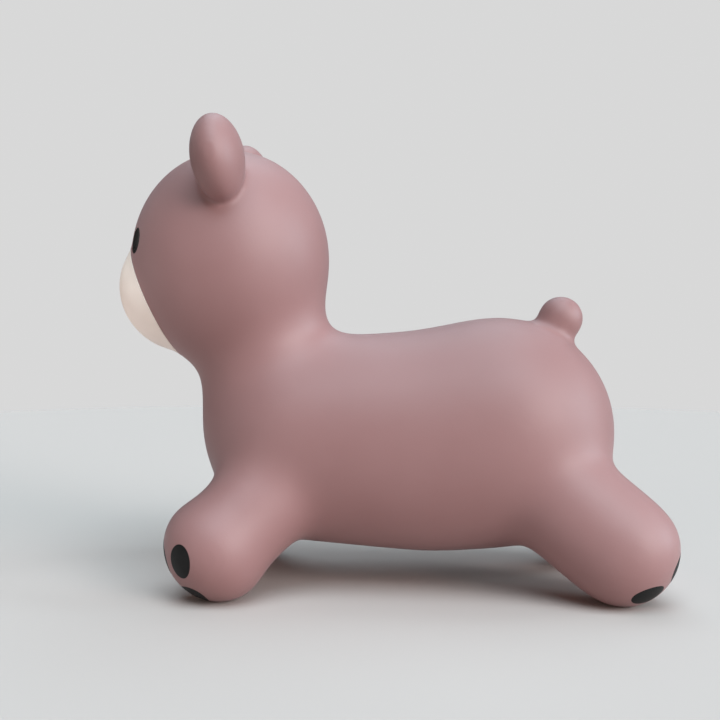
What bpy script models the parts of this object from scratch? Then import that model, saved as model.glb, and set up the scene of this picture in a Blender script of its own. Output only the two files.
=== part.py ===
"""Inflatable bear hopper: one hollow moulded skin, its push-in valve plug and its painted areas.

The animal faces -X, its left side is -Y, and its feet stand on Z = 0. Sizes are in metres.
"""

import math

import bmesh
import bpy
from mathutils import Matrix, Vector
from mathutils.bvhtree import BVHTree

# Torso: three balls in a row, measured at the skin's outer face
BELLY_CLEARANCE = 0.036
TORSO_LENGTH = 0.209
RUMP_RADIUS = 0.1245
BELLY_RADIUS = 0.1195
BELLY_BEHIND_CHEST = 0.135
CHEST_RADIUS = 0.1095
CHEST_RISE = 0.011
RUMP_RISE = 0.0055

# Neck: from the front of the chest up into the back of the head
NECK_ROOT_RADIUS = 0.0795
NECK_ROOT_AHEAD = 0.036
NECK_ROOT_RISE = 0.011
NECK_TOP_RADIUS = 0.062
NECK_TOP_BEHIND = 0.0385
NECK_TOP_DROP = 0.0795

# Head, with its muzzle on an axis that points forward and down
HEAD_AHEAD = 0.0855
HEAD_RISE = 0.1965
HEAD_LENGTH = 0.217
HEAD_WIDTH = 0.217
HEAD_HEIGHT = 0.2405
MUZZLE_DROOP = math.radians(29)
MUZZLE_SINK = 0.039
MUZZLE_LENGTH = 0.1215
MUZZLE_WIDTH = 0.134
MUZZLE_HEIGHT = 0.134

# Ears: thick upright discs, which are the rider's grips
EAR_DIAMETER = 0.0885
EAR_THICKNESS = 0.054
EAR_SPACING = 0.1965
EAR_RISE = 0.0985
EAR_AHEAD = -0.004
EAR_TILT = math.radians(8)

# Tail: a ball on the top of the rump
TAIL_DIAMETER = 0.047
TAIL_STANDOFF = 0.016
TAIL_LEAN = math.radians(28.5)

# Legs: each one is stretched between a ball in the torso and a foot that is flatter along the leg
LEG_ROOT_SPACING = 0.120
FRONT_ROOT_DIAMETER = 0.104
FRONT_ROOT_STRIDE = 0.0295
FRONT_ROOT_DROP = 0.047
FRONT_ANKLE_DIAMETER = 0.0955
FRONT_FOOT_DIAMETER = 0.110
FRONT_FOOT_LENGTH = 0.097
FRONT_STANCE = 0.191
FRONT_STRIDE = 0.087
HIND_ROOT_DIAMETER = 0.1155
HIND_ROOT_STRIDE = 0.0515
HIND_ROOT_DROP = 0.056
HIND_ANKLE_DIAMETER = 0.114
HIND_FOOT_DIAMETER = 0.1085
HIND_FOOT_LENGTH = 0.093
HIND_STANCE = 0.180
HIND_STRIDE = 0.126
SOLE_STANDOFF = 0.004
FOOT_FLAT_DEPTH = 0.001

# Moulding: the wall, and the radii that round the creases where the lobes meet
WALL = 0.002
TRUNK_FILLET = 0.018
LEG_FILLET = 0.013
TRIM_FILLET = 0.0075
LOBE_SEGMENTS = 48
VOXEL = 0.004
SMOOTH_REACH = 0.3
FILLET_SPREAD = 1.3
MERGE_DISTANCE = 0.0001
HALVES_CUT = 0.00001
SKIN_FACET_SHARE = 0.052
CHAMBER_FACET_SHARE = 0.40

# Valve in the belly, between the hind legs: a boss inside the skin, and its plug
VALVE_AHEAD_OF_RUMP = 0.030
PLUG_HEAD_DIAMETER = 0.020
PLUG_HEAD_THICKNESS = 0.0026
PLUG_HEAD_EDGE = 0.0008
PLUG_STEM_DIAMETER = 0.0078
PLUG_STEM_LENGTH = 0.017
PLUG_TIP_LENGTH = 0.003
PLUG_TIP_DIAMETER = 0.006
PLUG_RINGS = 3
PLUG_RING_HEIGHT = 0.0005
PLUG_RING_PITCH = 0.004
PLUG_SEGMENTS = 24
PLUG_FIT = 0.0003
BOSS_WALL = 0.003
BOSS_LENGTH = 0.014
BOSS_BITE = 0.0005
BORE_SEGMENTS = 48

# Paint: a thin coat, each area of it sprayed through a mask
PAINT_GAP = 0.0003
PAINT_THICKNESS = 0.0004
MASK_SEGMENTS = 24
MASK_DEPTH = 0.014
MUZZLE_MASK_DIAMETER = 0.160
MUZZLE_PAINT_SETBACK = 0.0175
MUZZLE_PAINT_DROOP = math.radians(24)
EYE_WIDTH = 0.027
EYE_HEIGHT = 0.028
EYE_TURN = math.radians(29.5)
EYE_LIFT = math.radians(9)
NOSE_WIDTH = 0.028
NOSE_HEIGHT = 0.019
NOSE_LIFT = math.radians(26)

# Paw prints: a heel pad, and three toe pads that fan out from it over the sole
HEEL_PAD_WIDTH = 0.046
HEEL_PAD_LENGTH = 0.0315
TOE_PAD_WIDTH = 0.0275
TOE_PAD_LENGTH = 0.036
TOE_PAD_TAPER = 0.02
TOE_PAD_REACH = math.radians(53.5)
TOE_PAD_SPREAD = math.radians(51.5)

# Angles from the leg's line to the heel pad, and turns from the sole's top towards its outer side
FRONT_HEEL_PAD_ANGLE = math.radians(20.5)
FRONT_HEEL_PAD_TURN = math.radians(167)
FRONT_TOES_TURN = math.radians(-26.5)
HIND_HEEL_PAD_ANGLE = math.radians(22)
HIND_HEEL_PAD_TURN = math.radians(-30)
HIND_TOES_TURN = math.radians(180)

# Materials: name, colour and roughness
FINISHES = {
    "skin": ("mauve_vinyl", (0.333, 0.174, 0.168), 0.5),
    "cream": ("cream_paint", (0.753, 0.658, 0.591), 0.5),
    "eye": ("eye_paint", (0.016, 0.014, 0.013), 0.35),
    "pad": ("pad_paint", (0.016, 0.014, 0.013), 0.45),
    "plug": ("plug_polyethylene", (0.80, 0.79, 0.76), 0.4),
}
SHARP_EDGE = math.radians(40)

UP = Vector((0.0, 0.0, 1.0))
FORWARD = Vector((-1.0, 0.0, 0.0))
LEG_LINE = Vector((0.0, 0.0, 1.0))
SIDES = {"left": -1, "right": 1}


def clear_scene():
    for obj in list(bpy.data.objects):
        bpy.data.objects.remove(obj, do_unlink=True)


def new_collection(name):
    collection = bpy.data.collections.new(name)
    bpy.context.scene.collection.children.link(collection)
    return collection


def material(name, colour, roughness):
    made = bpy.data.materials.new(name)
    made.use_nodes = True
    shader = made.node_tree.nodes["Principled BSDF"]
    shader.inputs["Base Color"].default_value = (*colour, 1.0)
    shader.inputs["Roughness"].default_value = roughness
    shader.inputs["Metallic"].default_value = 0.0
    return made


def new_object(name, mesh, collection, root, finish=None):
    obj = bpy.data.objects.new(name, mesh)
    collection.objects.link(obj)
    obj.parent = root
    if finish is None:
        obj.hide_render = True
        obj.display_type = "WIRE"
    else:
        mesh.materials.append(finish)
        mesh.shade_smooth()
        mesh.set_sharp_from_angle(angle=SHARP_EDGE)
    return obj


def mesh_from(bm, name):
    mesh = bpy.data.meshes.new(name)
    bm.to_mesh(mesh)
    bm.free()
    return mesh


def add_boolean(obj, operation, other):
    modifier = obj.modifiers.new(f"{operation.title()} {other.name}", "BOOLEAN")
    modifier.operation = operation
    modifier.solver = "EXACT"
    modifier.object = other


def add_facets(obj, share):
    """Leaves a share of the facets, as triangles and the same on both sides."""
    facets = obj.modifiers.new("Facets", "DECIMATE")
    facets.ratio = share
    facets.use_collapse_triangulate = True
    facets.use_symmetry = True
    facets.symmetry_axis = "Y"


def smoothing(fillet):
    """How much smoothing, as an area, rounds a square crease to a fillet."""
    return (fillet / FILLET_SPREAD) ** 2


def before_smoothing(radii, fillet):
    """Half axes of the ellipsoid that the smoothing for a fillet draws in to the given half axes."""
    drawn = smoothing(fillet)
    a, b, c = radii
    return Vector(
        (
            a + drawn * a * (1 / b**2 + 1 / c**2),
            b + drawn * b * (1 / a**2 + 1 / c**2),
            c + drawn * c * (1 / a**2 + 1 / b**2),
        )
    )


def frame_along(axis, upward):
    """A turn whose local Z is the axis and whose local Y is as near to upward as it can be."""
    z = axis.normalized()
    x = upward.cross(z).normalized()
    return Matrix((x, z.cross(x), z)).transposed()


class Lobe:
    """An ellipsoid of the moulding: its centre, its half axes and the turn of those axes."""

    def __init__(self, centre, radii, turn=None):
        self.centre = centre
        self.radii = Vector(radii)
        self.turn = turn or Matrix.Identity(3)

    def ball(self, fillet):
        bm = bmesh.new()
        size = Matrix.Diagonal((*before_smoothing(self.radii, fillet), 1.0))
        place = Matrix.Translation(self.centre) @ self.turn.to_4x4() @ size
        rings = LOBE_SEGMENTS // 2
        bmesh.ops.create_uvsphere(
            bm, u_segments=LOBE_SEGMENTS, v_segments=rings, radius=1.0, matrix=place
        )
        return bm

    def spot(self, direction):
        """The point of the surface in a direction of the lobe's own axes, and the normal there."""
        local = Vector(a * r for a, r in zip(direction, self.radii))
        normal = Vector(a / r for a, r in zip(direction, self.radii))
        return self.centre + self.turn @ local, (self.turn @ normal).normalized()

    def lowest(self):
        """How far the lobe reaches below its centre."""
        down = self.turn.transposed() @ -UP
        return math.sqrt(sum((a * r) ** 2 for a, r in zip(down, self.radii)))


def round_lobe(centre, radius):
    return Lobe(centre, (radius, radius, radius))


def foot_lobe(root, x, y, diameter, length):
    """A foot on the floor, flattened along the line from the leg's root."""
    centre = Vector((x, y, diameter / 2))
    turn = frame_along(centre - root, UP)
    foot = Lobe(centre, (diameter / 2, diameter / 2, length / 2), turn)
    foot.centre.z = foot.lowest() - FOOT_FLAT_DEPTH
    return foot


def ankle_lobe(foot, diameter):
    """A ball up the leg from the foot, behind its sole."""
    back = diameter / 2 + SOLE_STANDOFF - foot.radii.z
    return round_lobe(foot.centre - foot.turn.col[2] * back, diameter / 2)


def front_leg(chest, side):
    root = chest + FORWARD * FRONT_ROOT_STRIDE - UP * FRONT_ROOT_DROP
    root.y = side * LEG_ROOT_SPACING / 2
    x = chest.x - FRONT_STRIDE
    y = side * FRONT_STANCE / 2
    foot = foot_lobe(root, x, y, FRONT_FOOT_DIAMETER, FRONT_FOOT_LENGTH)
    ankle = ankle_lobe(foot, FRONT_ANKLE_DIAMETER)
    return {"root": round_lobe(root, FRONT_ROOT_DIAMETER / 2), "ankle": ankle, "foot": foot}


def hind_leg(rump, side):
    root = rump - FORWARD * HIND_ROOT_STRIDE - UP * HIND_ROOT_DROP
    root.y = side * LEG_ROOT_SPACING / 2
    x = rump.x + HIND_STRIDE
    y = side * HIND_STANCE / 2
    foot = foot_lobe(root, x, y, HIND_FOOT_DIAMETER, HIND_FOOT_LENGTH)
    ankle = ankle_lobe(foot, HIND_ANKLE_DIAMETER)
    return {"root": round_lobe(root, HIND_ROOT_DIAMETER / 2), "ankle": ankle, "foot": foot}


def body_lobes():
    """Every lobe of the animal by name."""
    lobes = {}
    rump_z = BELLY_CLEARANCE + RUMP_RISE + RUMP_RADIUS
    rump = Vector((TORSO_LENGTH / 2, 0.0, rump_z))
    chest = Vector((-TORSO_LENGTH / 2, 0.0, BELLY_CLEARANCE + CHEST_RISE + CHEST_RADIUS))
    belly = Vector((chest.x + BELLY_BEHIND_CHEST, 0.0, BELLY_CLEARANCE + BELLY_RADIUS))
    lobes["rump"] = round_lobe(rump, RUMP_RADIUS)
    lobes["belly"] = round_lobe(belly, BELLY_RADIUS)
    lobes["chest"] = round_lobe(chest, CHEST_RADIUS)

    head = chest + FORWARD * HEAD_AHEAD + UP * HEAD_RISE
    neck_root = chest + FORWARD * NECK_ROOT_AHEAD + UP * NECK_ROOT_RISE
    neck_top = head - FORWARD * NECK_TOP_BEHIND - UP * NECK_TOP_DROP
    lobes["neck_root"] = round_lobe(neck_root, NECK_ROOT_RADIUS)
    lobes["neck_top"] = round_lobe(neck_top, NECK_TOP_RADIUS)
    lobes["head"] = Lobe(head, (HEAD_LENGTH / 2, HEAD_WIDTH / 2, HEAD_HEIGHT / 2))

    nose_line = FORWARD * math.cos(MUZZLE_DROOP) - UP * math.sin(MUZZLE_DROOP)
    muzzle_radii = (MUZZLE_WIDTH / 2, MUZZLE_HEIGHT / 2, MUZZLE_LENGTH / 2)
    muzzle_turn = frame_along(nose_line, UP)
    muzzle = head + nose_line * (HEAD_LENGTH / 2 - MUZZLE_SINK)
    lobes["muzzle"] = Lobe(muzzle, muzzle_radii, muzzle_turn)

    tail_line = UP * math.cos(TAIL_LEAN) - FORWARD * math.sin(TAIL_LEAN)
    tail = rump + tail_line * (RUMP_RADIUS + TAIL_STANDOFF)
    lobes["tail"] = round_lobe(tail, TAIL_DIAMETER / 2)

    ear_radii = (EAR_THICKNESS / 2, EAR_DIAMETER / 2, EAR_DIAMETER / 2)
    ear_turn = Matrix.Rotation(-EAR_TILT, 3, "Y")
    for name, side in SIDES.items():
        ear = head + FORWARD * EAR_AHEAD + UP * EAR_RISE
        ear.y = side * EAR_SPACING / 2
        lobes[f"{name}_ear"] = Lobe(ear, ear_radii, ear_turn)

        for end, leg in (("front", front_leg(chest, side)), ("hind", hind_leg(rump, side))):
            for place, lobe in leg.items():
                lobes[f"{end}_{name}_{place}"] = lobe
    return lobes


def stretched(lobes, fillet):
    """The convex form stretched round the given lobes, before its creases get their fillet."""
    bm = bmesh.new()
    for lobe in lobes:
        ball = lobe.ball(fillet)
        for vertex in ball.verts:
            bm.verts.new(vertex.co)
        ball.free()
    bmesh.ops.convex_hull(bm, input=bm.verts)
    inner = [vertex for vertex in bm.verts if not vertex.link_faces]
    bmesh.ops.delete(bm, geom=inner, context="VERTS")
    return bm


def evaluated(obj):
    """The mesh that an object's modifiers make. The object is removed."""
    graph = bpy.context.evaluated_depsgraph_get()
    mesh = bpy.data.meshes.new_from_object(obj.evaluated_get(graph))
    bpy.data.objects.remove(obj, do_unlink=True)
    return mesh


def moulded_form(lobes, cutters, root):
    """The outer face of the skin, in few facets.

    The lobes are fused in three stages. Each stage rounds all the creases so far, so those of the
    trunk get the largest fillets and those of the trim the smallest.
    """
    trunk = [("chest", "belly"), ("belly", "rump"), ("neck_root", "neck_top"), ("head",)]
    legs = []
    trim = [("muzzle",), ("tail",)]
    for side in SIDES:
        trim += [(f"{side}_ear",)]
        for leg in (f"front_{side}", f"hind_{side}"):
            legs += [(f"{leg}_root", f"{leg}_ankle"), (f"{leg}_foot",)]
    stages = [(trunk, TRUNK_FILLET), (legs, LEG_FILLET), (trim, TRIM_FILLET)]
    later_fillets = [LEG_FILLET, TRIM_FILLET, 0.0]

    mesh = bpy.data.meshes.new("form")
    for (groups, fillet), later in zip(stages, later_fillets):
        joined = bmesh.new()
        joined.from_mesh(mesh)
        bpy.data.meshes.remove(mesh)
        for group in groups:
            piece = mesh_from(stretched([lobes[name] for name in group], fillet), "lobe")
            joined.from_mesh(piece)
            bpy.data.meshes.remove(piece)
        form = new_object("form", mesh_from(joined, "form"), cutters, root)
        fuse = form.modifiers.new("Fuse", "REMESH")
        fuse.mode = "VOXEL"
        fuse.voxel_size = VOXEL
        crease = form.modifiers.new("Round creases", "SMOOTH")
        crease.factor = 1.0
        step = (SMOOTH_REACH * VOXEL) ** 2
        crease.iterations = round(max(smoothing(fillet) - smoothing(later), 0.0) / step)
        mesh = evaluated(form)

    form = new_object("form", mesh, cutters, root)
    halves = form.modifiers.new("Even sides", "MIRROR")
    halves.use_axis = (False, True, False)
    halves.use_bisect_axis = (False, True, False)
    halves.merge_threshold = MERGE_DISTANCE
    halves.bisect_threshold = HALVES_CUT
    add_facets(form, SKIN_FACET_SHARE)
    few = evaluated(form)
    bpy.data.meshes.remove(mesh)
    return few


def surface_of(mesh):
    bm = bmesh.new()
    bm.from_mesh(mesh)
    tree = BVHTree.FromBMesh(bm)
    bm.free()
    return tree


def cylinder(radius, bottom, top):
    """A cylinder on local Z between two heights."""
    bm = bmesh.new()
    half_step = Matrix.Rotation(math.pi / BORE_SEGMENTS, 4, "Z")
    place = Matrix.Translation((0.0, 0.0, (bottom + top) / 2)) @ half_step
    bmesh.ops.create_cone(
        bm,
        cap_ends=True,
        segments=BORE_SEGMENTS,
        radius1=radius,
        radius2=radius,
        depth=top - bottom,
        matrix=place,
    )
    return mesh_from(bm, "cylinder")


def floor_below(obj, top):
    """A block with its top at a height, wider than an object that stands in it."""
    bm = bmesh.new()
    reach = 2 * max(abs(length) for corner in obj.bound_box for length in corner)
    size = Matrix.Diagonal((2 * reach, 2 * reach, reach, 1.0))
    place = Matrix.Translation((0.0, 0.0, top - reach / 2))
    bmesh.ops.create_cube(bm, size=1.0, matrix=place @ size)
    return mesh_from(bm, "floor")


def add_skin(form, valve, parts, cutters, root, finish):
    """The hollow skin: the form less the floor and the air chamber, with the valve's boss and bore."""
    skin = new_object("skin", form.copy(), parts, root, finish)
    floor = new_object("floor", floor_below(skin, 0.0), cutters, root)
    sole = new_object("sole", floor_below(skin, WALL), cutters, root)

    chamber = new_object("air_chamber", form.copy(), cutters, root)
    add_facets(chamber, CHAMBER_FACET_SHARE)
    inset = chamber.modifiers.new("Wall", "DISPLACE")
    inset.mid_level = 0.0
    inset.strength = -WALL
    add_boolean(chamber, "DIFFERENCE", sole)

    pocket_radius = PLUG_HEAD_DIAMETER / 2 + PLUG_FIT
    pocket_depth = PLUG_HEAD_THICKNESS + PLUG_FIT
    bore_radius = PLUG_STEM_DIAMETER / 2 + PLUG_RING_HEIGHT + PLUG_FIT
    boss_top = pocket_depth + BOSS_LENGTH
    boss_radius = pocket_radius + BOSS_WALL
    boss_mesh = cylinder(boss_radius, WALL - BOSS_BITE, boss_top)
    boss = new_object("valve_boss", boss_mesh, cutters, root)
    pocket = new_object("valve_pocket", cylinder(pocket_radius, -WALL, pocket_depth), cutters, root)
    bore = new_object("valve_bore", cylinder(bore_radius, 0.0, 2 * boss_top), cutters, root)
    for helper in (boss, pocket, bore):
        helper.location = valve

    add_boolean(skin, "DIFFERENCE", floor)
    add_boolean(skin, "DIFFERENCE", chamber)
    add_boolean(skin, "UNION", boss)
    add_boolean(skin, "DIFFERENCE", pocket)
    add_boolean(skin, "DIFFERENCE", bore)
    return skin


def plug_profile():
    """Radius and height down the plug's outer side, from the stem's tip to the middle of the head."""
    stem = PLUG_STEM_DIAMETER / 2
    head = PLUG_HEAD_DIAMETER / 2
    points = [(0.0, PLUG_STEM_LENGTH), (PLUG_TIP_DIAMETER / 2, PLUG_STEM_LENGTH)]
    points += [(stem, PLUG_STEM_LENGTH - PLUG_TIP_LENGTH)]
    top_ring = PLUG_STEM_LENGTH - PLUG_TIP_LENGTH - PLUG_RING_PITCH / 2
    for i in range(PLUG_RINGS):
        middle = top_ring - i * PLUG_RING_PITCH
        points += [(stem, middle + PLUG_RING_PITCH / 4)]
        points += [(stem + PLUG_RING_HEIGHT, middle)]
        points += [(stem, middle - PLUG_RING_PITCH / 4)]
    points += [(stem, 0.0), (head - PLUG_HEAD_EDGE, 0.0), (head, -PLUG_HEAD_EDGE)]
    points += [(head, PLUG_HEAD_EDGE - PLUG_HEAD_THICKNESS)]
    points += [(head - PLUG_HEAD_EDGE, -PLUG_HEAD_THICKNESS), (0.0, -PLUG_HEAD_THICKNESS)]
    return points


def add_plug(valve, parts, root, finish):
    """The plug: a flat head that fills the pocket, and a stem with sealing rings."""
    bm = bmesh.new()
    line = [bm.verts.new((radius, 0.0, height)) for radius, height in plug_profile()]
    for upper, lower in zip(line, line[1:]):
        bm.edges.new((upper, lower))
    plug = new_object("valve_plug", mesh_from(bm, "valve_plug"), parts, root, finish)
    plug.location = valve + UP * PLUG_HEAD_THICKNESS
    turn = plug.modifiers.new("Turn", "SCREW")
    turn.axis = "Z"
    turn.steps = PLUG_SEGMENTS
    turn.render_steps = PLUG_SEGMENTS
    turn.use_merge_vertices = True
    turn.merge_threshold = MERGE_DISTANCE
    turn.use_smooth_shade = True
    return plug


def add_paint_coat(name, height, form, cutters, root):
    """A coat at a height above the form, clear of the floor, of which the masks leave parts."""
    coat = new_object(name, form.copy(), cutters, root)
    gap = coat.modifiers.new("Gap", "DISPLACE")
    gap.mid_level = 0.0
    gap.strength = height
    film = coat.modifiers.new("Film", "SOLIDIFY")
    film.thickness = PAINT_THICKNESS
    film.offset = 1.0
    floor = new_object(f"{name}_floor", floor_below(coat, PAINT_GAP), cutters, root)
    add_boolean(coat, "DIFFERENCE", floor)
    return coat


def oval_mask(width, length, depth, taper=0.0):
    """An oval prism on local Z, longest on local Y, and narrower at -Y by the taper."""
    bm = bmesh.new()
    size = Matrix.Diagonal((width / 2, length / 2, depth, 1.0))
    half_step = Matrix.Rotation(math.pi / MASK_SEGMENTS, 4, "Z")
    bmesh.ops.create_cone(
        bm,
        cap_ends=True,
        segments=MASK_SEGMENTS,
        radius1=1.0,
        radius2=1.0,
        depth=2.0,
        matrix=size @ half_step,
    )
    for vertex in bm.verts:
        vertex.co.x *= 1 + taper * vertex.co.y / (length / 2)
    return mesh_from(bm, "mask")


def add_painted_area(name, mask, spot, normal, long_way, coat, parts, root, finish):
    area = new_object(name, mask, parts, root, finish)
    turn = frame_along(normal, long_way)
    area.matrix_local = Matrix.Translation(spot) @ turn.to_4x4()
    add_boolean(area, "INTERSECT", coat)
    return area


def add_face_paint(lobes, coat, top_coat, parts, root, finishes):
    """The muzzle, in front of one plane, the nose on top of it, and the eyes."""
    head, muzzle = lobes["head"], lobes["muzzle"]
    line = FORWARD * math.cos(MUZZLE_PAINT_DROOP) - UP * math.sin(MUZZLE_PAINT_DROOP)
    mask = cylinder(MUZZLE_MASK_DIAMETER / 2, 0.0, MUZZLE_LENGTH)
    edge = head.centre + line * (HEAD_LENGTH / 2 - MUZZLE_PAINT_SETBACK)
    add_painted_area("muzzle_paint", mask, edge, line, UP, coat, parts, root, finishes["cream"])

    spot, normal = muzzle.spot((0.0, math.sin(NOSE_LIFT), math.cos(NOSE_LIFT)))
    mask = oval_mask(NOSE_WIDTH, NOSE_HEIGHT, MASK_DEPTH)
    add_painted_area("nose_paint", mask, spot, normal, UP, top_coat, parts, root, finishes["eye"])

    for name, side in SIDES.items():
        ahead = math.cos(EYE_TURN) * math.cos(EYE_LIFT)
        aside = side * math.sin(EYE_TURN) * math.cos(EYE_LIFT)
        spot, normal = head.spot((-ahead, aside, math.sin(EYE_LIFT)))
        mask = oval_mask(EYE_WIDTH, EYE_HEIGHT, MASK_DEPTH)
        eye = f"{name}_eye_paint"
        add_painted_area(eye, mask, spot, normal, UP, coat, parts, root, finishes["eye"])


def turned_towards(start, aim, angle):
    """The unit vector at an angle from the start, on the side of the aim."""
    across = (aim - start * aim.dot(start)).normalized()
    return start * math.cos(angle) + across * math.sin(angle)


def across_sole(foot, side, turn):
    """The direction across a sole at a turn from its top towards its outer side."""
    outward = side if foot.turn.col[0].y > 0 else -side
    return Vector((math.sin(turn) * outward, math.cos(turn), 0.0))


def add_paw_prints(lobes, coat, parts, root, finish):
    """On each sole, a heel pad and three toe pads that point away from it: up in front, down behind."""
    prints = {
        "front": (FRONT_HEEL_PAD_ANGLE, FRONT_HEEL_PAD_TURN, FRONT_TOES_TURN),
        "hind": (HIND_HEEL_PAD_ANGLE, HIND_HEEL_PAD_TURN, HIND_TOES_TURN),
    }
    toes = {"inner_toe": -1, "middle_toe": 0, "outer_toe": 1}
    for end, (heel_angle, heel_turn, toes_turn) in prints.items():
        spread = math.copysign(TOE_PAD_SPREAD, math.cos(toes_turn))
        for name, side in SIDES.items():
            foot = lobes[f"{end}_{name}_foot"]
            heel = turned_towards(LEG_LINE, across_sole(foot, side, heel_turn), heel_angle)
            middle = foot.spot(heel)[0]
            spots = {}
            for toe, step in toes.items():
                aim = across_sole(foot, side, toes_turn + step * spread)
                spots[toe] = foot.spot(turned_towards(heel, aim, TOE_PAD_REACH))
                mask = oval_mask(TOE_PAD_WIDTH, TOE_PAD_LENGTH, MASK_DEPTH, TOE_PAD_TAPER)
                spot, normal = spots[toe]
                pad = f"{end}_{name}_{toe}_pad"
                add_painted_area(pad, mask, spot, normal, spot - middle, coat, parts, root, finish)
            mask = oval_mask(HEEL_PAD_WIDTH, HEEL_PAD_LENGTH, MASK_DEPTH)
            pad = f"{end}_{name}_heel_pad"
            normal = foot.spot(heel)[1]
            to_toes = spots["middle_toe"][0] - middle
            add_painted_area(pad, mask, middle, normal, to_toes, coat, parts, root, finish)


def main():
    clear_scene()
    parts = new_collection("animal_hopper")
    cutters = new_collection("cutters")
    finishes = {use: material(*look) for use, look in FINISHES.items()}
    root = bpy.data.objects.new("hopper", None)
    parts.objects.link(root)

    lobes = body_lobes()
    form = moulded_form(lobes, cutters, root)
    xs = [vertex.co.x for vertex in form.vertices]
    root.location.x = -(min(xs) + max(xs)) / 2

    valve_x = lobes["rump"].centre.x - VALVE_AHEAD_OF_RUMP
    valve = surface_of(form).ray_cast(Vector((valve_x, 0.0, 0.0)), UP)[0]
    add_skin(form, valve, parts, cutters, root, finishes["skin"])
    add_plug(valve, parts, root, finishes["plug"])
    coat = add_paint_coat("paint_coat", PAINT_GAP, form, cutters, root)
    top_height = 2 * PAINT_GAP + PAINT_THICKNESS
    top_coat = add_paint_coat("top_coat", top_height, form, cutters, root)
    add_face_paint(lobes, coat, top_coat, parts, root, finishes)
    add_paw_prints(lobes, coat, parts, root, finishes["pad"])
    bpy.data.meshes.remove(form)


if __name__ == "__main__":
    main()
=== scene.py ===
import math

import bmesh
import bpy
from mathutils import Matrix, Vector
from mathutils.bvhtree import BVHTree


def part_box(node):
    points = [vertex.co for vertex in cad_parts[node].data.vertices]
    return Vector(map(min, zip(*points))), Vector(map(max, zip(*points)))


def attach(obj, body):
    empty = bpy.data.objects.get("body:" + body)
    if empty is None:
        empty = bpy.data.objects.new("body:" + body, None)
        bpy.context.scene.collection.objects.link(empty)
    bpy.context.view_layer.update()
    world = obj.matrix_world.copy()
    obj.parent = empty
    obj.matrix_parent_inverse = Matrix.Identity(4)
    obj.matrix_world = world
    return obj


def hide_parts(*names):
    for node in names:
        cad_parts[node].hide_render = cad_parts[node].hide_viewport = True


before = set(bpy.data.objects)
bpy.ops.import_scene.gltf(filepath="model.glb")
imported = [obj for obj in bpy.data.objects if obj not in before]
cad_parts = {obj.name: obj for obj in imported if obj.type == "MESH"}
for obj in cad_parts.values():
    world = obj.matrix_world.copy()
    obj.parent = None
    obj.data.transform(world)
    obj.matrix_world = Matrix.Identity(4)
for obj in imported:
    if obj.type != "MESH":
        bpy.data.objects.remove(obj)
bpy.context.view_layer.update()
print("stage: frame loaded")

up = Vector((0.0, 0.0, 1.0))
forward = Vector((-1.0, 0.0, 0.0))
sides = {"left": -1, "right": 1}
sharpEdge = math.radians(40)
mergeDistance = 0.000001


# Materials

vinyl = {
    "colour": (0.282, 0.135, 0.129),
    "paleColour": (0.306, 0.151, 0.145),
    "cloudsPerMetre": 7.0,
    "cloudDetail": 3.0,
    "roughness": 0.54,
    "roughnessSpread": 0.07,
    "grainPerMetre": 700.0,
    "grainDetail": 2.0,
    "grainRoughness": 0.6,
    "grainHeight": 0.00006,
    "wavesPerMetre": 26.0,
    "waveDetail": 1.0,
    "waveHeight": 0.00035,
    "sheen": 0.08,
    "sheenRoughness": 0.42,
    "sheenTint": (0.86, 0.93, 1.0),
    "subsurface": 0.06,
    "subsurfaceRadius": (0.006, 0.003, 0.003),
    "subsurfaceScale": 0.5,
}
coat = {  # what paints and plug share, where they name nothing else
    "cloudsPerMetre": 40.0,
    "cloudDetail": 3.0,
    "roughnessSpread": 0.08,
    "grainPerMetre": 900.0,
    "grainDetail": 2.0,
    "grainRoughness": 0.6,
    "grainHeight": 0.00004,
}
paints = {
    "cream": {
        "colour": (0.96, 0.80, 0.71),
        "dark": (0.93, 0.765, 0.675),
        "roughness": 0.48,
        "specular": 0.5,
    },
    "eye": {
        "colour": (0.010, 0.009, 0.009),
        "dark": (0.006, 0.0055, 0.0055),
        "roughness": 0.26,
        "specular": 0.5,
    },
    "pad": {
        "colour": (0.010, 0.009, 0.009),
        "dark": (0.006, 0.0055, 0.0055),
        "roughness": 0.50,
        "specular": 0.18,
    },
}
plugPlastic = {
    "colour": (0.80, 0.79, 0.76),
    "dark": (0.72, 0.71, 0.68),
    "roughness": 0.38,
    "specular": 0.5,
    "grainPerMetre": 300.0,
    "grainHeight": 0.00003,
    "subsurface": 0.25,
    "subsurfaceRadius": (0.004, 0.004, 0.003),
    "subsurfaceScale": 0.5,
}


def newMaterial(name):
    made = bpy.data.materials.new(name)
    made.use_nodes = True
    return made, made.node_tree.nodes, made.node_tree.links


def addNoise(nodes, links, place, scale, detail, rough=0.5):
    noise = nodes.new("ShaderNodeTexNoise")
    noise.inputs["Scale"].default_value = scale
    noise.inputs["Detail"].default_value = detail
    noise.inputs["Roughness"].default_value = rough
    links.new(place, noise.inputs["Vector"])
    return noise.outputs["Fac"]


def addRange(nodes, links, value, low, high, fromLow=0.3, fromHigh=0.7):  # most noise is within these
    spread = nodes.new("ShaderNodeMapRange")
    spread.inputs["From Min"].default_value = fromLow
    spread.inputs["From Max"].default_value = fromHigh
    spread.inputs["To Min"].default_value = low
    spread.inputs["To Max"].default_value = high
    links.new(value, spread.inputs["Value"])
    return spread.outputs["Result"]


def addRamp(nodes, links, value, first, second, low=0.35, high=0.65):
    ramp = nodes.new("ShaderNodeValToRGB")
    ramp.color_ramp.elements[0].position = low
    ramp.color_ramp.elements[0].color = (*first, 1.0)
    ramp.color_ramp.elements[1].position = high
    ramp.color_ramp.elements[1].color = (*second, 1.0)
    links.new(value, ramp.inputs["Fac"])
    return ramp.outputs["Color"]


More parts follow.
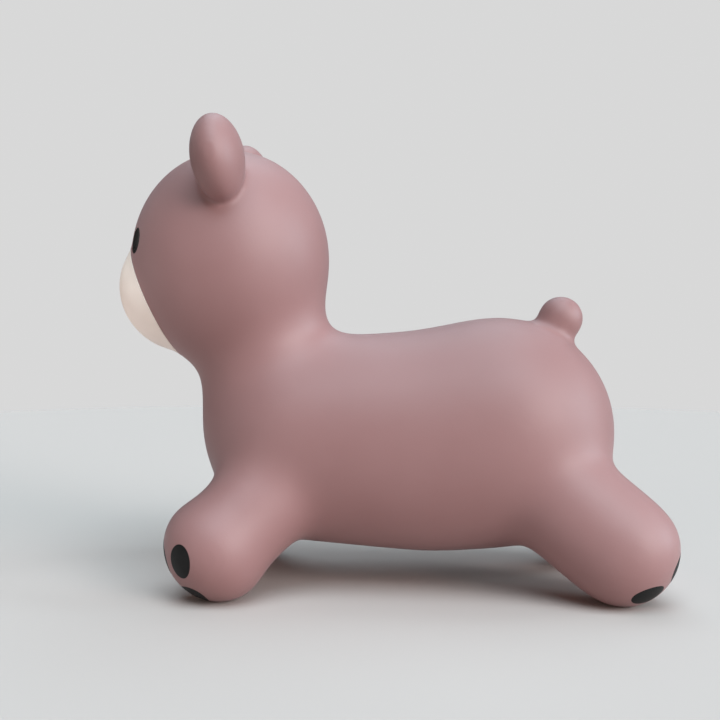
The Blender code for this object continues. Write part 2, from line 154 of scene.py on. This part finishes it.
def addBump(nodes, links, height, distance, before=None):
    bump = nodes.new("ShaderNodeBump")
    bump.inputs["Strength"].default_value = 1.0
    bump.inputs["Distance"].default_value = distance
    links.new(height, bump.inputs["Height"])
    if before is not None:
        links.new(before, bump.inputs["Normal"])
    return bump.outputs["Normal"]


def objectPlace(nodes):
    return nodes.new("ShaderNodeTexCoord").outputs["Object"]


def addSubsurface(shader, look):
    shader.inputs["Subsurface Weight"].default_value = look["subsurface"]
    shader.inputs["Subsurface Radius"].default_value = look["subsurfaceRadius"]
    shader.inputs["Subsurface Scale"].default_value = look["subsurfaceScale"]


def addGrain(nodes, links, place, look):
    scale = look["grainPerMetre"]
    return addNoise(nodes, links, place, scale, look["grainDetail"], look["grainRoughness"])


def addRoughness(nodes, links, grain, look):
    half = look["roughnessSpread"] / 2
    spread = addRange(nodes, links, grain, look["roughness"] - half, look["roughness"] + half)
    links.new(spread, nodes["Principled BSDF"].inputs["Roughness"])


def vinylMaterial():
    made, nodes, links = newMaterial("mauve vinyl")
    shader = nodes["Principled BSDF"]
    place = objectPlace(nodes)
    clouds = addNoise(nodes, links, place, vinyl["cloudsPerMetre"], vinyl["cloudDetail"])
    colour = addRamp(nodes, links, clouds, vinyl["colour"], vinyl["paleColour"])
    links.new(colour, shader.inputs["Base Color"])
    grain = addGrain(nodes, links, place, vinyl)
    addRoughness(nodes, links, grain, vinyl)
    waves = addNoise(nodes, links, place, vinyl["wavesPerMetre"], vinyl["waveDetail"])
    coarse = addBump(nodes, links, waves, vinyl["waveHeight"])
    fine = addBump(nodes, links, grain, vinyl["grainHeight"], coarse)
    links.new(fine, shader.inputs["Normal"])
    shader.inputs["Sheen Weight"].default_value = vinyl["sheen"]
    shader.inputs["Sheen Roughness"].default_value = vinyl["sheenRoughness"]
    shader.inputs["Sheen Tint"].default_value = (*vinyl["sheenTint"], 1.0)
    addSubsurface(shader, vinyl)
    return made


def coatMaterial(name, ownLook):
    look = {**coat, **ownLook}
    made, nodes, links = newMaterial(name)
    shader = nodes["Principled BSDF"]
    place = objectPlace(nodes)
    clouds = addNoise(nodes, links, place, look["cloudsPerMetre"], look["cloudDetail"])
    colour = addRamp(nodes, links, clouds, look["dark"], look["colour"])
    links.new(colour, shader.inputs["Base Color"])
    grain = addGrain(nodes, links, place, look)
    addRoughness(nodes, links, grain, look)
    links.new(addBump(nodes, links, grain, look["grainHeight"]), shader.inputs["Normal"])
    shader.inputs["Specular IOR Level"].default_value = look["specular"]
    return made


skinMaterial = vinylMaterial()
paintMaterials = {name: coatMaterial(f"{name} paint", look) for name, look in paints.items()}
plugMaterial = coatMaterial("plug polyethylene", plugPlastic)
addSubsurface(plugMaterial.node_tree.nodes["Principled BSDF"], plugPlastic)
print("stage: materials made")


# The lobes of the animal, measured at the skin's outer face

torso = {
    "clearance": 0.036,
    "length": 0.209,
    "rumpRadius": 0.1245,
    "rumpRise": 0.0055,
    "bellyRadius": 0.1195,
    "bellyBehindChest": 0.135,
    "chestRadius": 0.1095,
    "chestRise": 0.011,
}
neck = {
    "rootRadius": 0.0795,
    "rootAhead": 0.036,
    "rootRise": 0.011,
    "topRadius": 0.062,
    "topBehind": 0.0385,
    "topDrop": 0.0795,
}
head = {"ahead": 0.0855, "rise": 0.1965, "length": 0.217, "width": 0.217, "height": 0.2405}
muzzle = {"droop": 29.0, "sink": 0.039, "length": 0.1215, "width": 0.134, "height": 0.134}
ears = {
    "diameter": 0.0885,
    "thickness": 0.054,
    "spacing": 0.1965,
    "rise": 0.0985,
    "ahead": -0.004,
    "tilt": 8.0,
}
tail = {"diameter": 0.047, "standoff": 0.016, "lean": 28.5}
frontLeg = {
    "rootDiameter": 0.104,
    "rootStride": 0.0295,
    "rootDrop": 0.047,
    "ankleDiameter": 0.0955,
    "footDiameter": 0.110,
    "footLength": 0.097,
    "stance": 0.191,
    "stride": 0.087,
    "way": -1,
}
hindLeg = {
    "rootDiameter": 0.1155,
    "rootStride": 0.0515,
    "rootDrop": 0.056,
    "ankleDiameter": 0.114,
    "footDiameter": 0.1085,
    "footLength": 0.093,
    "stance": 0.180,
    "stride": 0.126,
    "way": 1,
}
legs = {"rootSpacing": 0.120, "soleStandoff": 0.004, "flatDepth": 0.001}


def lobe(centre, radii, turn=None):
    return {"centre": Vector(centre), "radii": Vector(radii), "turn": turn or Matrix.Identity(3)}


def roundLobe(centre, radius):
    return lobe(centre, (radius, radius, radius))


def frameAlong(axis, upward):
    z = axis.normalized()
    x = upward.cross(z).normalized()
    return Matrix((x, z.cross(x), z)).transposed()


def lineDown(degrees):
    angle = math.radians(degrees)
    return forward * math.cos(angle) - up * math.sin(angle)


def lowest(part):
    down = part["turn"].transposed() @ -up
    return math.sqrt(sum((a * r) ** 2 for a, r in zip(down, part["radii"])))


def legLobes(sizes, hip, side):
    root = Vector((hip.x + sizes["way"] * sizes["rootStride"], 0.0, hip.z - sizes["rootDrop"]))
    root.y = side * legs["rootSpacing"] / 2
    radius = sizes["footDiameter"] / 2
    centre = Vector((hip.x + sizes["way"] * sizes["stride"], side * sizes["stance"] / 2, radius))
    turn = frameAlong(centre - root, up)
    foot = lobe(centre, (radius, radius, sizes["footLength"] / 2), turn)
    foot["centre"].z = lowest(foot) - legs["flatDepth"]
    ankleRadius = sizes["ankleDiameter"] / 2
    back = ankleRadius + legs["soleStandoff"] - foot["radii"].z
    ankle = roundLobe(foot["centre"] - turn.col[2] * back, ankleRadius)
    return {"root": roundLobe(root, sizes["rootDiameter"] / 2), "ankle": ankle, "foot": foot}


def bodyLobes():
    lobes = {}
    half = torso["length"] / 2
    rump = Vector((half, 0.0, torso["clearance"] + torso["rumpRise"] + torso["rumpRadius"]))
    chest = Vector((-half, 0.0, torso["clearance"] + torso["chestRise"] + torso["chestRadius"]))
    belly = Vector((torso["bellyBehindChest"] - half, 0.0, torso["clearance"] + torso["bellyRadius"]))
    lobes["rump"] = roundLobe(rump, torso["rumpRadius"])
    lobes["belly"] = roundLobe(belly, torso["bellyRadius"])
    lobes["chest"] = roundLobe(chest, torso["chestRadius"])

    skull = chest + forward * head["ahead"] + up * head["rise"]
    neckRoot = chest + forward * neck["rootAhead"] + up * neck["rootRise"]
    neckTop = skull - forward * neck["topBehind"] - up * neck["topDrop"]
    lobes["neckRoot"] = roundLobe(neckRoot, neck["rootRadius"])
    lobes["neckTop"] = roundLobe(neckTop, neck["topRadius"])
    lobes["head"] = lobe(skull, (head["length"] / 2, head["width"] / 2, head["height"] / 2))

    noseLine = lineDown(muzzle["droop"])
    snout = skull + noseLine * (head["length"] / 2 - muzzle["sink"])
    snoutRadii = (muzzle["width"] / 2, muzzle["height"] / 2, muzzle["length"] / 2)
    lobes["muzzle"] = lobe(snout, snoutRadii, frameAlong(noseLine, up))

    lean = math.radians(tail["lean"])
    tailLine = up * math.cos(lean) - forward * math.sin(lean)
    tailCentre = rump + tailLine * (torso["rumpRadius"] + tail["standoff"])
    lobes["tail"] = roundLobe(tailCentre, tail["diameter"] / 2)

    earTurn = Matrix.Rotation(-math.radians(ears["tilt"]), 3, "Y")
    earRadii = (ears["thickness"] / 2, ears["diameter"] / 2, ears["diameter"] / 2)
    for name, side in sides.items():
        ear = skull + forward * ears["ahead"] + up * ears["rise"]
        ear.y = side * ears["spacing"] / 2
        lobes[f"{name}Ear"] = lobe(ear, earRadii, earTurn)
        for end, sizes, hip in (("front", frontLeg, chest), ("hind", hindLeg, rump)):
            for place, part in legLobes(sizes, hip, side).items():
                lobes[f"{end} {name} {place}"] = part
    return lobes


# The skin: the lobes fused in stages, each of which rounds all the creases so far

moulding = {
    "trunkFillet": 0.018,
    "legFillet": 0.013,
    "trimFillet": 0.007,
    "earFillet": 0.003,
    "voxel": 0.0024,
    "smoothReach": 0.3,
    "filletSpread": 1.3,
    "lobeSegments": 96,
    "facetShare": 0.56,
}


def smoothing(fillet):
    return (fillet / moulding["filletSpread"]) ** 2


def ballPoints(part, fillet):
    drawn = smoothing(fillet)
    a, b, c = part["radii"]
    swollen = (  # smoothing draws a ball in again by this much
        a + drawn * a * (1 / b**2 + 1 / c**2),
        b + drawn * b * (1 / a**2 + 1 / c**2),
        c + drawn * c * (1 / a**2 + 1 / b**2),
    )
    size = Matrix.Diagonal((*swollen, 1.0))
    place = Matrix.Translation(part["centre"]) @ part["turn"].to_4x4() @ size
    bm = bmesh.new()
    bmesh.ops.create_uvsphere(
        bm,
        u_segments=moulding["lobeSegments"],
        v_segments=moulding["lobeSegments"] // 2,
        radius=1.0,
        matrix=place,
    )
    points = [vertex.co.copy() for vertex in bm.verts]
    bm.free()
    return points


def addHull(bm, points):
    verts = [bm.verts.new(point) for point in points]
    bmesh.ops.convex_hull(bm, input=verts)
    inner = [vertex for vertex in verts if not vertex.link_faces]
    bmesh.ops.delete(bm, geom=inner, context="VERTS")


def newObject(name, bm, material=None):
    mesh = bpy.data.meshes.new(name)
    bm.to_mesh(mesh)
    bm.free()
    made = bpy.data.objects.new(name, mesh)
    bpy.context.scene.collection.objects.link(made)
    if material is not None:
        mesh.materials.append(material)
    mesh.shade_smooth()
    return made


def takeMesh(made):
    bpy.context.view_layer.update()
    graph = bpy.context.evaluated_depsgraph_get()
    mesh = bpy.data.meshes.new_from_object(made.evaluated_get(graph))
    old = made.data
    bpy.data.objects.remove(made, do_unlink=True)
    bpy.data.meshes.remove(old)
    return mesh


def fusedForm(lobes):
    trunk = [("chest", "belly"), ("belly", "rump"), ("neckRoot", "neckTop"), ("head",)]
    limbs = []
    for leg in (f"{end} {side}" for end in ("front", "hind") for side in sides):
        limbs += [(f"{leg} root", f"{leg} ankle"), (f"{leg} foot",)]
    trim = [("muzzle",), ("tail",)]
    grips = [(f"{side}Ear",) for side in sides]
    stages = (trunk, limbs, trim, grips)
    fillets = [moulding[f"{name}Fillet"] for name in ("trunk", "leg", "trim", "ear")] + [0.0]

    mesh = bpy.data.meshes.new("form")
    for groups, fillet, later in zip(stages, fillets, fillets[1:]):
        bm = bmesh.new()
        bm.from_mesh(mesh)
        bpy.data.meshes.remove(mesh)
        for group in groups:
            addHull(bm, [point for name in group for point in ballPoints(lobes[name], fillet)])
        form = newObject("form", bm)
        fuse = form.modifiers.new("fuse", "REMESH")
        fuse.mode = "VOXEL"
        fuse.voxel_size = moulding["voxel"]
        crease = form.modifiers.new("round creases", "SMOOTH")
        crease.factor = 1.0
        step = (moulding["smoothReach"] * moulding["voxel"]) ** 2
        crease.iterations = round((smoothing(fillet) - smoothing(later)) / step)
        if not later:
            facets = form.modifiers.new("facets", "DECIMATE")
            facets.ratio = moulding["facetShare"]
        mesh = takeMesh(form)
    return mesh


lobes = bodyLobes()
form = fusedForm(lobes)  # then put in the middle of the CAD skin's length, with the soles flat
skinLow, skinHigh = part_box("skin")
formXs = [vertex.co.x for vertex in form.vertices]
shift = (skinLow.x + skinHigh.x - min(formXs) - max(formXs)) / 2
for vertex in form.vertices:
    vertex.co.x += shift
    vertex.co.z = max(vertex.co.z, 0.0)
for part in lobes.values():
    part["centre"].x += shift

formMesh = bmesh.new()
formMesh.from_mesh(form)
skinTree = BVHTree.FromBMesh(formMesh)
bpy.data.meshes.remove(form)
print("stage: form fused,", len(formMesh.verts), "points")


# The valve: a pocket and a blind bore in the belly, and the plug that fills them

socket = {
    "pocketGap": 0.0003,
    "boreDepth": 0.022,
    "boreDiameter": 0.0094,
    "cutBelow": 0.004,
    "segments": 96,
}
stopper = {
    "headEdge": 0.0008,
    "headThickness": 0.0026,
    "dishDepth": 0.0007,
    "dishShare": 0.72,
    "dishBend": (0.8, 0.9),
    "stemDiameter": 0.0078,
    "tipDiameter": 0.006,
    "tipLength": 0.003,
    "tipBevel": 0.25,
    "rings": 3,
    "ringHeight": 0.0005,
    "ringPitch": 0.004,
    "cornerSteps": 5,
    "segments": 96,
}


def roundCutter(centre, radius, bottom, top):
    bm = bmesh.new()
    bmesh.ops.create_cone(
        bm,
        cap_ends=True,
        segments=socket["segments"],
        radius1=radius,
        radius2=radius,
        depth=top - bottom,
        matrix=Matrix.Translation(centre + up * (bottom + top) / 2),
    )
    return newObject("cutter", bm)


plugLow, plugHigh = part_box("valve_plug")
plugCentre = (plugLow + plugHigh) / 2
plugCentre.z = plugLow.z
headRadius = (plugHigh.x - plugLow.x) / 2
stemTop = plugHigh.z - plugLow.z

skin = newObject("skinSurface", formMesh, skinMaterial)
pocketRadius = headRadius + socket["pocketGap"]
pocketDepth = stopper["headThickness"] + socket["pocketGap"]
cutters = [
    roundCutter(plugCentre, pocketRadius, -socket["cutBelow"], pocketDepth),
    roundCutter(plugCentre, socket["boreDiameter"] / 2, 0.0, socket["boreDepth"]),
]
for cutter in cutters:
    cut = skin.modifiers.new("valve", "BOOLEAN")
    cut.operation = "DIFFERENCE"
    cut.solver = "EXACT"
    cut.object = cutter
skinMesh = takeMesh(skin)
for cutter in cutters:
    bpy.data.objects.remove(cutter, do_unlink=True)
skinMesh.set_sharp_from_angle(angle=sharpEdge)
skin = bpy.data.objects.new("skinSurface", skinMesh)
bpy.context.scene.collection.objects.link(skin)
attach(skin, "body")
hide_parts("skin")
print("stage: skin made,", len(skinMesh.polygons), "faces")


def roundedCorner(corner, start, end):
    points = []
    steps = stopper["cornerSteps"]
    for i in range(steps + 1):
        t = i / steps
        points.append(start * (1 - t) ** 2 + corner * 2 * t * (1 - t) + end * t**2)
    return points


def plugProfile():
    edge = stopper["headEdge"]
    thick = stopper["headThickness"]
    dish = headRadius * stopper["dishShare"]
    deep = stopper["dishDepth"]
    outBend, upBend = stopper["dishBend"]
    stem = stopper["stemDiameter"] / 2
    points = [Vector((0.0, deep)), Vector((dish * outBend, deep * upBend)), Vector((dish, 0.0))]
    rim = Vector((headRadius, 0.0))
    points += roundedCorner(rim, rim - Vector((edge, 0.0)), rim + Vector((0.0, edge)))
    rim = Vector((headRadius, thick))
    points += roundedCorner(rim, rim - Vector((0.0, edge)), rim - Vector((edge, 0.0)))
    points += [Vector((stem + edge, thick)), Vector((stem, thick + edge))]
    pitch = stopper["ringPitch"]
    topRing = stemTop - stopper["tipLength"] - pitch / 2
    for i in reversed(range(stopper["rings"])):
        middle = topRing - i * pitch
        for t in (-1.0, -0.5, 0.0, 0.5, 1.0):  # a ring is half a pitch wide
            swell = stopper["ringHeight"] * math.cos(t * math.pi / 2)
            points.append(Vector((stem + swell, middle + t * pitch / 4)))
    points += [Vector((stem, stemTop - stopper["tipLength"]))]
    tip = stopper["tipDiameter"] / 2
    corner = Vector((tip, stemTop))
    slope = Vector((stem - tip, -stopper["tipLength"])) * stopper["tipBevel"]
    points += roundedCorner(corner, corner + slope, corner - Vector((edge, 0.0)))
    points += [Vector((0.0, stemTop))]
    return points


def spunShape(profile, segments):
    bm = bmesh.new()
    line = [bm.verts.new((point.x, 0.0, point.y)) for point in profile]
    edges = [bm.edges.new(pair) for pair in zip(line, line[1:])]
    bmesh.ops.spin(
        bm,
        geom=line + edges,
        cent=(0.0, 0.0, 0.0),
        axis=(0.0, 0.0, 1.0),
        angle=math.tau,
        steps=segments,
        use_merge=True,
    )
    bmesh.ops.remove_doubles(bm, verts=bm.verts, dist=mergeDistance)
    bmesh.ops.recalc_face_normals(bm, faces=bm.faces)
    return bm


plugShape = spunShape(plugProfile(), stopper["segments"])
bmesh.ops.translate(plugShape, verts=plugShape.verts, vec=plugCentre)
plug = newObject("ringedPlug", plugShape, plugMaterial)
plug.data.set_sharp_from_angle(angle=sharpEdge)
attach(plug, "plug")
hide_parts("valve_plug")
print("stage: plug made")


# Paint: thin films on the skin, each with a soft edge

film = {
    "gap": 0.00004,
    "height": 0.00012,
    "edgeShare": 0.06,
    "edgeCrowding": 1.6,
    "floorClearance": 0.0004,
    "rings": 18,
    "segments": 72,
    "castHeight": 0.02,
    "reachSteps": 12,
    "angleDigits": 5,
}


def filmProfile():
    shares = [1 - (1 - i / film["rings"]) ** film["edgeCrowding"] for i in range(film["rings"] + 1)]
    bottom = [Vector((share, 0.0)) for share in shares]
    top = []
    for share in reversed(shares[:-1]):
        inward = min((1 - share) / film["edgeShare"], 1.0)
        top.append(Vector((share, film["height"] * math.sqrt(1 - (1 - inward) ** 2))))
    return bottom + top


def addFilm(name, spotAt, material, node, lift=0.0):
    bm = spunShape(filmProfile(), film["segments"])  # a round film, then laid on the skin
    for vertex in bm.verts:
        flat = vertex.co.xy
        angle = round(math.atan2(flat.y, flat.x), film["angleDigits"])
        place, facing = spotAt(flat.length, angle)
        vertex.co = place + facing * (film["gap"] + lift + vertex.co.z)
    bmesh.ops.recalc_face_normals(bm, faces=bm.faces)
    made = newObject(name, bm, material)
    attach(made, "body")
    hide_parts(node)


def lobeSpot(part, direction):
    local = Vector(a * r for a, r in zip(direction, part["radii"]))
    normal = Vector(a / r for a, r in zip(direction, part["radii"]))
    return part["centre"] + part["turn"] @ local, (part["turn"] @ normal).normalized()


def ovalSpots(spot, normal, longWay, width, length, taper=0.0):
    turn = frameAlong(normal, longWay)
    reaches = {}

    def cast(share, angle):
        y = share * math.sin(angle)
        x = share * math.cos(angle) * (1 + taper * y)
        start = spot + turn @ Vector((x * width / 2, y * length / 2, film["castHeight"]))
        place, facing, face, distance = skinTree.ray_cast(start, -normal)
        return place, facing

    def reach(angle):  # the share of the oval that stays clear of the floor
        low, high = 0.0, 1.0
        if cast(high, angle)[0].z > film["floorClearance"]:
            return high
        for step in range(film["reachSteps"]):
            middle = (low + high) / 2
            if cast(middle, angle)[0].z > film["floorClearance"]:
                low = middle
            else:
                high = middle
        return low

    def spotAt(share, angle):
        if angle not in reaches:
            reaches[angle] = reach(angle)
        return cast(share * reaches[angle], angle)

    return spotAt


facePaint = {
    "muzzleSetback": 0.0175,
    "muzzleDroop": 24.0,
    "eyeWidth": 0.027,
    "eyeHeight": 0.028,
    "eyeTurn": 29.5,
    "eyeLift": 9.0,
    "noseWidth": 0.028,
    "noseHeight": 0.019,
    "noseLift": 26.0,
}


def muzzleSpots():
    line = lineDown(facePaint["muzzleDroop"])
    turn = frameAlong(line, up)
    middle = lobes["head"]["centre"] + line * (head["length"] / 2 - facePaint["muzzleSetback"])

    def spotAt(share, angle):
        away = share * math.pi / 2
        across = Vector((math.cos(angle), math.sin(angle), 0.0)) * math.sin(away)
        way = turn @ (across + Vector((0.0, 0.0, math.cos(away))))
        place, facing, face, distance = skinTree.ray_cast(middle, way)
        return place, facing

    return spotAt


addFilm("muzzleCoat", muzzleSpots(), paintMaterials["cream"], "muzzle_paint")

noseLift = math.radians(facePaint["noseLift"])
noseSpot, noseNormal = lobeSpot(lobes["muzzle"], (0.0, math.sin(noseLift), math.cos(noseLift)))
noseSpots = ovalSpots(noseSpot, noseNormal, up, facePaint["noseWidth"], facePaint["noseHeight"])
muzzleTop = film["height"] + film["gap"]  # the nose lies on the muzzle's coat
addFilm("noseCoat", noseSpots, paintMaterials["eye"], "nose_paint", lift=muzzleTop)

eyeTurn = math.radians(facePaint["eyeTurn"])
eyeLift = math.radians(facePaint["eyeLift"])
for name, side in sides.items():
    ahead = -math.cos(eyeTurn) * math.cos(eyeLift)
    aside = side * math.sin(eyeTurn) * math.cos(eyeLift)
    spot, normal = lobeSpot(lobes["head"], (ahead, aside, math.sin(eyeLift)))
    spots = ovalSpots(spot, normal, up, facePaint["eyeWidth"], facePaint["eyeHeight"])
    addFilm(f"{name}EyeCoat", spots, paintMaterials["eye"], f"{name}_eye_paint")
print("stage: face painted")


# Paw prints: angles are from the leg's line, and turns from the sole's top to its outer side

pawPrint = {
    "heelWidth": 0.046,
    "heelLength": 0.0315,
    "toeWidth": 0.0275,
    "toeLength": 0.036,
    "toeTaper": 0.02,
    "toeReach": 53.5,
    "toeSpread": 51.5,
}
printPlaces = {
    "front": {"heelAngle": 20.5, "heelTurn": 167.0, "toesTurn": -26.5, "outerWay": 1},
    "hind": {"heelAngle": 22.0, "heelTurn": -30.0, "toesTurn": 180.0, "outerWay": -1},
}


def turnedTowards(start, aim, degrees):
    angle = math.radians(degrees)
    across = (aim - start * aim.dot(start)).normalized()
    return start * math.cos(angle) + across * math.sin(angle)


def acrossSole(foot, side, degrees):
    turn = math.radians(degrees)
    outward = side if foot["turn"].col[0].y > 0 else -side
    return Vector((math.sin(turn) * outward, math.cos(turn), 0.0))


def addPawPrint(end, name, side):
    foot = lobes[f"{end} {name} foot"]
    place = printPlaces[end]
    legLine = Vector((0.0, 0.0, 1.0))
    heel = turnedTowards(legLine, acrossSole(foot, side, place["heelTurn"]), place["heelAngle"])
    heelSpot, heelNormal = lobeSpot(foot, heel)
    pad = paintMaterials["pad"]
    spread = pawPrint["toeSpread"] * place["outerWay"]
    for toe, turn in (("inner", -spread), ("middle", 0.0), ("outer", spread)):
        aim = acrossSole(foot, side, place["toesTurn"] + turn)
        spot, normal = lobeSpot(foot, turnedTowards(heel, aim, pawPrint["toeReach"]))
        longWay = spot - heelSpot
        size = (pawPrint["toeWidth"], pawPrint["toeLength"], pawPrint["toeTaper"])
        spots = ovalSpots(spot, normal, longWay, *size)
        addFilm(f"{end}_{name}_{toe}_toeCoat", spots, pad, f"{end}_{name}_{toe}_toe_pad")
        if toe == "middle":
            toToes = longWay
    spots = ovalSpots(heelSpot, heelNormal, toToes, pawPrint["heelWidth"], pawPrint["heelLength"])
    addFilm(f"{end}_{name}_heelCoat", spots, pad, f"{end}_{name}_heel_pad")


for end in printPlaces:
    for name, side in sides.items():
        addPawPrint(end, name, side)
print("stage: paw prints painted")


# Floor, light and camera

floor = {
    "radius": 2.4,
    "segments": 128,
    "colour": (0.522, 0.434, 0.406),
    "roughness": 0.9,
    "specular": 0.0,
}
studio = {
    "ambient": 0.03,
    "ambientColour": (1.0, 0.93, 0.90),
    "backdrop": 0.688,  # as bright as the lit floor
}
lights = {
    "overhead": {
        "strength": 2.35,
        "spread": 45.0,
        "azimuth": 4.0,
        "elevation": 64.0,
        "colour": (0.70, 0.91, 1.0),
    },
    "window": {
        "strength": 1.20,
        "spread": 45.0,
        "azimuth": 48.0,
        "elevation": 38.0,
        "colour": (0.72, 0.93, 1.0),
    },
    "side": {
        "strength": 1.85,
        "spread": 30.0,
        "azimuth": 90.0,
        "elevation": 16.0,
        "colour": (0.68, 0.91, 1.0),
    },
    "front": {
        "strength": 1.90,
        "spread": 30.0,
        "azimuth": 48.0,
        "elevation": 18.0,
        "colour": (1.0, 0.96, 0.95),
    },
    "behind": {
        "strength": 1.35,
        "spread": 45.0,
        "azimuth": 180.0,
        "elevation": 64.0,
        "colour": (0.68, 0.90, 1.0),
    },
    "fill": {
        "strength": 0.26,
        "spread": 50.0,
        "azimuth": -102.0,
        "elevation": 22.0,
        "colour": (1.0, 0.91, 0.86),
    },
    "face": {
        "strength": 0.34,
        "spread": 40.0,
        "azimuth": -38.0,
        "elevation": 16.0,
        "colour": (1.0, 0.91, 0.86),
    },
}
muzzleLamp = {
    "power": 3.4,
    "cone": 17.0,
    "softness": 1.0,
    "radius": 0.06,
    "place": (-0.86, -0.10, 0.29),
    "aim": (-0.267, -0.02, 0.305),
    "colour": (1.0, 0.93, 0.90),
}
camera = {
    "azimuth": 3.2,
    "elevation": 2.2,
    "distance": 1.15,
    "lens": 52.1,
    "sensor": 36.0,
    "roll": 0.05,
    "target": (-0.0312, 0.0, 0.2435),
}


def addFloor():
    bm = bmesh.new()
    bmesh.ops.create_circle(
        bm,
        cap_ends=True,
        segments=floor["segments"],
        radius=floor["radius"],
    )
    material, nodes, links = newMaterial("floor")
    shader = nodes["Principled BSDF"]
    shader.inputs["Base Color"].default_value = (*floor["colour"], 1.0)
    shader.inputs["Roughness"].default_value = floor["roughness"]
    shader.inputs["Specular IOR Level"].default_value = floor["specular"]
    made = newObject("floor", bm, material)


def wayTo(look):
    azimuth = math.radians(look["azimuth"])
    elevation = math.radians(look["elevation"])
    flat = math.cos(elevation)
    return Vector((math.sin(azimuth) * flat, -math.cos(azimuth) * flat, math.sin(elevation)))


def addLight(name, look):
    light = bpy.data.lights.new(name, "SUN")
    light.energy = look["strength"]
    light.angle = math.radians(look["spread"])
    light.color = look["colour"]
    made = bpy.data.objects.new(name, light)
    bpy.context.scene.collection.objects.link(made)
    made.rotation_euler = wayTo(look).to_track_quat("Z", "Y").to_euler()


def addMuzzleLamp():
    lamp = bpy.data.lights.new("muzzle lamp", "SPOT")
    lamp.energy = muzzleLamp["power"]
    lamp.spot_size = math.radians(muzzleLamp["cone"])
    lamp.spot_blend = muzzleLamp["softness"]
    lamp.shadow_soft_size = muzzleLamp["radius"]
    lamp.color = muzzleLamp["colour"]
    made = bpy.data.objects.new("muzzle lamp", lamp)
    bpy.context.scene.collection.objects.link(made)
    made.location = muzzleLamp["place"]
    back = Vector(muzzleLamp["place"]) - Vector(muzzleLamp["aim"])
    made.rotation_euler = back.to_track_quat("Z", "Y").to_euler()
    made.visible_camera = False


def addWorld():
    world = bpy.data.worlds.new("studio")
    world.use_nodes = True
    nodes = world.node_tree.nodes
    links = world.node_tree.links
    ambient = nodes["Background"]
    ambient.inputs["Color"].default_value = (*studio["ambientColour"], 1.0)
    ambient.inputs["Strength"].default_value = studio["ambient"]
    backdrop = nodes.new("ShaderNodeBackground")
    backdrop.inputs["Strength"].default_value = studio["backdrop"]
    backdrop.inputs["Color"].default_value = (1.0, 1.0, 1.0, 1.0)
    seen = nodes.new("ShaderNodeLightPath")
    both = nodes.new("ShaderNodeMixShader")
    links.new(seen.outputs["Is Camera Ray"], both.inputs["Fac"])
    links.new(ambient.outputs["Background"], both.inputs[1])
    links.new(backdrop.outputs["Background"], both.inputs[2])
    links.new(both.outputs["Shader"], nodes["World Output"].inputs["Surface"])
    bpy.context.scene.world = world


def addCamera():
    back = wayTo(camera)
    data = bpy.data.cameras.new("camera")
    data.lens = camera["lens"]
    data.sensor_width = camera["sensor"]
    made = bpy.data.objects.new("camera", data)
    bpy.context.scene.collection.objects.link(made)
    made.location = Vector(camera["target"]) + back * camera["distance"]
    roll = Matrix.Rotation(math.radians(camera["roll"]), 3, "Z")
    aimed = back.to_track_quat("Z", "Y").to_matrix() @ roll
    made.rotation_euler = aimed.to_euler()
    bpy.context.scene.camera = made


addFloor()
for name, look in lights.items():
    addLight(name, look)
addMuzzleLamp()
addCamera()
addWorld()
bpy.context.scene.view_settings.view_transform = "Standard"
print("stage: studio set")
